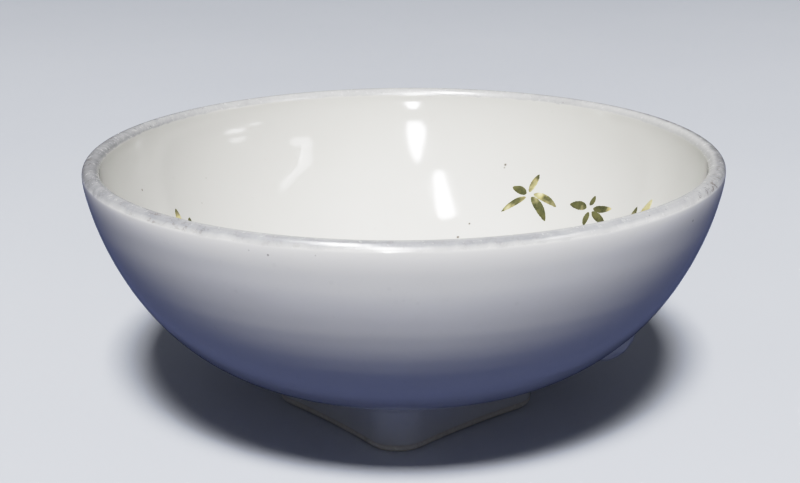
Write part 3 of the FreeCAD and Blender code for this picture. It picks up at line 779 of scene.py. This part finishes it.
def metal_line_material():
    """A thin silvery film, nearly rubbed through to the white glaze, with tarnished flecks."""
    material, g = new_material("worn_rim_metal")
    across = g.attribute("across")        # 0 at the band's outer edge, 1 at its inner edge
    x, y, _ = g.axes(g.place)
    sides = g.math("ABSOLUTE", x).remap(span=(0.014, 0.038))
    front = y.remap(span=(-0.012, -0.036))
    broad = g.noise(scale=90, detail=4, roughness=0.6)
    mid = g.noise(scale=420, detail=4, roughness=0.65)
    fine = g.noise(scale=1600, detail=4, roughness=0.7)

    # the film is left on the outer half and the crown; on the right the inner half is rubbed
    outer_fade = (across.remap(span=(0.09, 0.22)) * (1.0 - front)
                  + across.remap(span=(0.12, 0.28)) * front)
    rubbed = across.remap(span=(0.47, 0.62)) * x.remap(span=(0.026, 0.041), to=(0.05, 0.58))
    film = outer_fade * (1.0 - rubbed) * across.remap(span=(0.97, 0.82))
    patches = (broad * 0.4 + mid * 0.6).remap(span=(0.40, 0.60), to=(0.86, 1.10))
    # thinner on the front crown, the front, the front right corner and the back
    front_crown = across.remap(span=(0.40, 0.50)) * front
    corner = x.remap(span=(0.020, 0.038)) * y.remap(span=(-0.005, -0.018))
    back_loss = y.remap(span=(0.012, 0.038), to=(0.0, 0.32))
    amount = 0.93 - front_crown * 0.34 - front * 0.13 - corner * 0.20 - back_loss
    metal = g.math("MULTIPLY", film * amount, patches, clamp=True)

    white = g.mix(mid.remap(span=MIDDLE), low=(0.67, 0.675, 0.675), high=(0.70, 0.705, 0.71))
    white = g.mix(film, low=(0.70, 0.702, 0.695), high=white)
    grey = g.mix(fine.remap(span=MIDDLE), low=(0.31, 0.315, 0.335), high=(0.41, 0.415, 0.435))
    grey = g.mix(front * 0.6, grey, high=(0.29, 0.305, 0.345))
    colour = g.mix(metal, white, grey)

    # tarnished flecks: loose chains on the outer half of the crown, thickest at the sides
    zone = across.remap(span=(0.07, 0.16)) * across.remap(span=(0.58, 0.46))
    allowed = (broad.remap(span=(0.41, 0.52))
               * (zone * sides.remap(span=(0.0, 1.0), to=(0.30, 1.0))))
    chains = fine.remap(span=(0.51, 0.58)) * mid.remap(span=(0.47, 0.56))
    flecks = g.math("MULTIPLY", chains, allowed, clamp=True)
    dots = g.specks(scale=1700, size=0.30, shift=(0.03, 0.06, 0.09)) * film * 0.6
    flecks = g.math("MAXIMUM", flecks, dots)
    tarnish = g.mix(broad.remap(span=(0.45, 0.6)), low=(0.10, 0.095, 0.11),
                    high=(0.15, 0.11, 0.09))
    g.finish(g.principled({
        "Base Color": g.mix(flecks * 0.68, colour, tarnish),
        "Metallic": metal * 0.25,
        "Roughness": fine.remap(span=(0.3, 0.7), to=(0.14, 0.30)),
        "Normal": g.bump(mid - flecks, strength=0.09, distance=0.00006),
        "IOR": GLAZE_IOR}))
    return material


def gilt_material():
    """Matte gilt: dark olive where it has aged and as painted dark reflection of the surroundings,
    pale gold where it is rubbed.
    """
    material, g = new_material("worn_gilt")
    rub = g.noise(scale=620, detail=5, roughness=0.7)
    broad = g.noise(scale=210, detail=3, roughness=0.55)
    # painted reflection: the darkening stands for the gilt's age and also for gold reflecting dark
    # surroundings
    bright = (broad + (0.5 - g.attribute("aged_and_reflection_dark")) * 0.5).remap(span=(0.46, 0.60))
    dark = g.mix(rub.remap(span=(0.38, 0.62)), low=(0.040, 0.044, 0.014),
                 high=(0.120, 0.118, 0.042))
    light = g.mix(rub.remap(span=(0.35, 0.62)), low=(0.47, 0.40, 0.17), high=(0.70, 0.64, 0.38))
    g.finish(g.principled({
        "Base Color": g.mix(bright, dark, light),
        "Metallic": bright.remap(span=(0.0, 1.0), to=(0.05, 0.30)),
        "Roughness": rub.remap(span=(0.3, 0.7), to=(0.6, 0.42)),
        "Specular IOR Level": 0.3,
        "Normal": g.bump(rub, strength=0.3, distance=0.00005)}))
    return material


def pad_material():
    material, g = new_material("ivory_sprig")
    cloud = g.noise(scale=160, detail=4, roughness=0.6)
    relief = g.noise(scale=700, detail=3, roughness=0.6)
    g.finish(g.principled({
        "Base Color": g.mix(cloud.remap(span=MIDDLE), low=(0.735, 0.72, 0.63),
                            high=(0.785, 0.775, 0.70)),
        "Roughness": cloud.remap(span=(0.3, 0.7), to=(0.10, 0.2)),
        "Normal": g.bump(relief, strength=0.15, distance=0.0001),
        "IOR": GLAZE_IOR}))
    return material


# ------------------------------------------------------------------ pieces
def fit(piece, material, slot, *replaced):
    piece.data.materials.append(material)
    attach(piece, "root")
    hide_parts(*replaced)


def build_pieces():
    bowl_glaze = bowl_material()
    foot_glaze = foot_material()
    metal = metal_line_material()
    gilt = gilt_material()
    ivory = pad_material()
    fit(build_bowl(), bowl_glaze, "glaze", "bowl_body", "inner_glaze", "outer_glaze", "base_glaze")
    fit(build_foot(), foot_glaze, "glaze", "foot", "luting_slip", "foot_glaze")
    fit(build_band(), metal, "rim_metal", "rim_band")
    fit(build_pad(), ivory, "biscuit", "relief_pad")
    for i, (name, (turn, leaves)) in enumerate(SPRIGS.items()):
        fit(build_sprig(name, turn, leaves, SPRIG_SEED + i), gilt, "gilt", name)


# ------------------------------------------------------------------ floor and world
FLOOR_HALF = 3000.0


def camera_axes(g):
    """The camera's own position in the world, in metres."""
    return g.axes(g.wire("VectorTransform", {0: (0, 0, 0)}, vector_type="POINT",
                         convert_from="CAMERA", convert_to="WORLD"))


def camera_turned(g, x, y):
    """0 with the camera in front, rising to 1 as it walks round past the sides."""
    tiny = 1e-6                           # keeps the division safe above the axis
    flat = g.math("SQRT", x * x + y * y + tiny)
    return (y / flat).remap(span=(-0.88, 0.25))


def backdrop(g, camera_y):
    """The far backdrop's colour, paler when the camera is behind the bowl."""
    return g.mix(camera_y.remap(span=(0.05, 0.19)), low=(0.55, 0.58, 0.65),
                 high=(1.04, 1.08, 1.15))


def floor_material():
    material, g = new_material("pale_floor")
    cloud = g.noise(scale=9, detail=3, roughness=0.5)
    seen = g.mix(cloud.remap(span=(0.3, 0.7)), low=(0.50, 0.53, 0.60), high=(0.52, 0.55, 0.62))
    # the bowl sees a quieter floor than the camera does
    camera_ray = g.wire("LightPath", output="Is Camera Ray")
    camera_x, camera_y, camera_z = camera_axes(g)
    bounce = g.mix(camera_turned(g, camera_x, camera_y), low=(0.040, 0.050, 0.112),
                   high=(0.27, 0.28, 0.30))
    floor = g.principled({"Base Color": g.mix(camera_ray, bounce, seen),
                          "Roughness": 0.9, "Specular IOR Level": 0.1})
    # far off it fades into the backdrop's own colour
    x, y, _ = g.axes(g.place)
    away = g.math("SQRT", x * x + y * y)
    far = g.wire("Emission", {0: backdrop(g, camera_y)})
    faded = g.wire("MixShader", {0: away.remap(span=(0.45, 1.5)) * camera_ray, 1: floor, 2: far})
    # with the camera below it the floor is clear, so that the underside can be seen
    below = g.math("LESS_THAN", camera_z, 0.0)
    g.finish(g.wire("MixShader", {0: below, 1: faded, 2: g.wire("BsdfTransparent")}))
    return material


def build_floor():
    h = FLOOR_HALF
    corners = [(-h, -h, 0), (h, -h, 0), (h, h, 0), (-h, h, 0)]
    floor = new_object("studio_floor", corners, [(0, 1, 2, 3)])
    floor.data.materials.append(floor_material())


def build_world():
    world = bpy.data.worlds.new("studio_world")
    bpy.context.scene.world = world
    world.use_nodes = True
    g = Graph(world.node_tree)
    up = g.axes(g.wire("TexCoord", output="Generated"))[2]
    light = g.mix(up.remap(span=(0.02, 0.42)), low=(0.045, 0.050, 0.066),
                  high=(0.118, 0.121, 0.130))
    # more fill as the camera goes round from the front
    camera_x, camera_y, _ = camera_axes(g)
    light = g.mix(camera_turned(g, camera_x, camera_y), light, high=(0.36, 0.37, 0.39))
    # bright and even from below the floor's level
    light = g.mix(up.remap(span=(-0.05, -0.25)), light, high=(0.62, 0.64, 0.68))
    light = g.mix(g.wire("LightPath", output="Is Camera Ray"), light,
                  backdrop(g, camera_axes(g)[1]))
    background = world.node_tree.nodes["Background"]
    g.feed(background.inputs["Color"], light)
    background.inputs["Strength"].default_value = 1.0
    world.cycles.sampling_method = "NONE"


# ------------------------------------------------------------------ lights
def build_key():
    """A soft key light from in front and above, in metres; it makes no highlight."""
    target = (0, 0, 0.03)
    distance, azimuth, elevation = 1.6, math.radians(-91.0), math.radians(55.4)
    data = bpy.data.lights.new("key", "AREA")
    data.shape = "RECTANGLE"
    data.size, data.size_y = 0.32, 0.28
    data.energy = 45.0
    data.color = (1.0, 0.985, 0.955)
    key = bpy.data.objects.new("key", data)
    bpy.context.scene.collection.objects.link(key)
    key.location = (distance * math.cos(elevation) * math.cos(azimuth),
                    distance * math.cos(elevation) * math.sin(azimuth),
                    target[2] + distance * math.sin(elevation))
    key.rotation_mode = "QUATERNION"
    key.rotation_quaternion = (key.location - Vector(target)).to_track_quat("Z", "Y")
    key.visible_camera = False
    key.visible_glossy = False


# Bright panels, seen only as highlights in the glaze: brightness, the scale (x, y, z) about
# the middle that makes up for the glaze's blur, and the corners.
PANELS = {
    "panel_spot": (75, (0.82, 1.0, 1.14), [
        (-1.2, -257.2, 61.8), (-5.5, -258.3, 38.3), (-13.6, -256.0, 14.0),
        (-23.6, -255.6, 14.0), (-31.6, -256.4, 37.5), (-35.4, -255.0, 60.6),
        (-31.1, -253.1, 80.8), (-23.0, -254.0, 86.0), (-13.0, -254.6, 86.0),
        (-5.0, -254.8, 81.6)]),
    "panel_high": (75, (0.80, 1, 1), [
        (-2.5, -240.1, 137.4), (-9.4, -242.8, 129.4), (-22.1, -241.9, 129.7),
        (-36.6, -240.4, 129.0), (-44.7, -232.8, 145.4), (-46.9, -226.0, 159.2),
        (-42.4, -216.4, 178.6), (-34.8, -200.8, 203.6), (-28.7, -191.8, 215.9),
        (-22.1, -188.3, 220.9), (-16.6, -198.5, 209.5), (-6.9, -215.9, 185.7),
        (-2.2, -227.1, 166.3)]),
    "panel_overhead": (75, (0.90, 1, 1), [
        (-53.8, -172.3, 231.1), (-60.6, -176.0, 225.3), (-72.6, -172.6, 224.3),
        (-75.9, -159.5, 235.5), (-77.7, -132.3, 256.1), (-80.9, -81.0, 282.4),
        (-82.1, -50.7, 292.1), (-72.3, -44.8, 296.8), (-57.7, -39.6, 302.0),
        (-51.1, -53.2, 300.0), (-52.2, -92.2, 285.8), (-52.4, -133.1, 263.3)]),
    "panel_right_bar": (7, (1, 1, 1), [
        (202.7, -131.6, 144.1), (193.6, -146.7, 139.5), (171.1, -168.7, 143.8),
        (163.8, -167.2, 157.6), (163.2, -159.9, 169.0), (175.0, -149.0, 167.3),
        (184.6, -144.0, 159.5), (196.8, -129.7, 157.5)]),
    "panel_right_leg": (7, (1, 1, 1), [
        (182.4, -150.5, 154.0), (164.8, -162.4, 163.6), (162.6, -156.0, 174.8),
        (160.9, -142.9, 191.8), (169.5, -118.9, 204.5), (183.0, -83.1, 214.3),
        (192.2, -42.5, 221.8), (200.4, -46.7, 210.9), (190.6, -81.4, 206.8),
        (180.6, -112.4, 197.4), (177.0, -133.3, 182.7), (179.2, -145.3, 165.9)]),
    "panel_right_low": (12, (1, 1, 1), [
        (263.5, -20.0, 80.0), (261.6, -30.8, 82.3), (251.4, -69.4, 87.7),
        (249.4, -69.7, 96.9), (255.8, -46.4, 97.2), (261.6, -22.3, 89.4)]),
    "panel_right_mid": (8, (1, 1, 1), [
        (258.4, -22.2, 102.6), (252.8, -46.9, 107.1), (247.9, -65.8, 110.1),
        (247.8, -66.5, 114.1), (253.0, -39.1, 115.5), (258.4, -23.2, 109.9)]),
    "panel_right_far": (6, (1, 1, 1), [
        (252.2, -72.1, 78.0), (238.8, -103.7, 82.4), (234.8, -107.2, 93.8),
        (247.8, -79.0, 89.6)]),
}
# rings of a panel, edge inwards: share of its size, glow; the middle point glows fully
PANEL_RINGS = ((0.97, 0.0), (0.85, 0.62), (0.64, 1.0))


def build_panel(name, brightness, trim, corners):
    outline = np.array(corners)
    middle = outline.mean(0)
    outline = middle + (outline - middle) * trim
    rings = [middle + (outline - middle) * share for share, _ in PANEL_RINGS]
    count = len(corners)
    tip = len(rings) * count
    faces = grid_faces(count, len(rings))
    faces += [(tip - count + j, tip - count + (j + 1) % count, tip) for j in range(count)]
    panel = new_object(name, np.concatenate(rings + [middle[None]]), faces)
    point_float(panel, "glow", np.r_[np.repeat([glow for _, glow in PANEL_RINGS], count), 1.0])

    material, g = new_material(name + "_light")
    light = g.wire("Emission", {1: g.attribute("glow") * brightness})
    # clear where it does not glow, so that it never shows as a dark card
    g.finish(g.wire("AddShader", {0: light, 1: g.wire("BsdfTransparent")}))
    panel.data.materials.append(material)
    panel.visible_camera = False
    panel.visible_diffuse = False
    panel.visible_transmission = False
    panel.visible_shadow = False


# ------------------------------------------------------------------ camera and view
LENS, SENSOR_WIDTH = 63.0, 36.0
CAMERA_DISTANCE = 196.0                   # from the centre of the lip
CAMERA_ELEVATION = math.radians(14.03)
CAMERA_ROLL = math.radians(-0.38)
# where the lip's centre is seen: slopes to the right of and below the view axis
LIP_RIGHT, LIP_DOWN = 0.00242857, -0.0607857


def cross_matrix(v):
    """The matrix that takes a vector to its cross product with v."""
    return np.array([[0, -v[2], v[1]], [v[2], 0, -v[0]], [-v[1], v[0], 0]])


def build_camera():
    back = np.array([0, -math.cos(CAMERA_ELEVATION), math.sin(CAMERA_ELEVATION)])
    position = (np.array([0, 0, LIP_Z]) + back * CAMERA_DISTANCE) * MM
    # rows right, down, forward of a camera that looks straight at the lip's centre
    right = np.array([1.0, 0, 0])
    straight = np.stack([right, np.cross(-back, right), -back])
    # swing it until the lip's centre lies where it is seen, then roll about that line
    seen = np.array([LIP_RIGHT, LIP_DOWN, 1.0])
    seen /= np.linalg.norm(seen)
    forward = np.array([0, 0, 1.0])
    turn = cross_matrix(np.cross(forward, seen))
    swing = np.eye(3) + turn + turn @ turn / (1 + forward @ seen)
    spin = cross_matrix(seen)
    roll = np.eye(3) + math.sin(CAMERA_ROLL) * spin + (1 - math.cos(CAMERA_ROLL)) * spin @ spin
    right, down, forward = roll @ swing @ straight

    data = bpy.data.cameras.new("camera")
    data.sensor_fit = "HORIZONTAL"
    data.sensor_width = SENSOR_WIDTH
    data.lens = LENS
    data.clip_start, data.clip_end = 0.005, 20
    camera = bpy.data.objects.new("camera", data)
    bpy.context.scene.collection.objects.link(camera)
    rows = np.c_[right, -down, -forward, position].tolist()
    camera.matrix_world = Matrix(rows + [[0, 0, 0, 1]])
    bpy.context.scene.camera = camera


def set_view():
    """Standard view with a soft shoulder, so that the white inside keeps its shading."""
    view = bpy.context.scene.view_settings
    view.view_transform = "Standard"
    view.look = "None"
    view.exposure = 0.0
    view.use_curve_mapping = True
    mapping = view.curve_mapping
    mapping.white_level = (3.0, 3.0, 3.0)
    combined = mapping.curves[3]
    for x, y in ((0.10, 0.30), (0.20, 0.585), (0.30, 0.745), (0.40, 0.835), (0.60, 0.93)):
        combined.points.new(x, y)
    mapping.update()


build_pieces()
build_floor()
build_world()
build_key()
for panel_name, (brightness, trim, corners) in PANELS.items():
    build_panel(panel_name, brightness, trim, corners)
build_camera()
set_view()
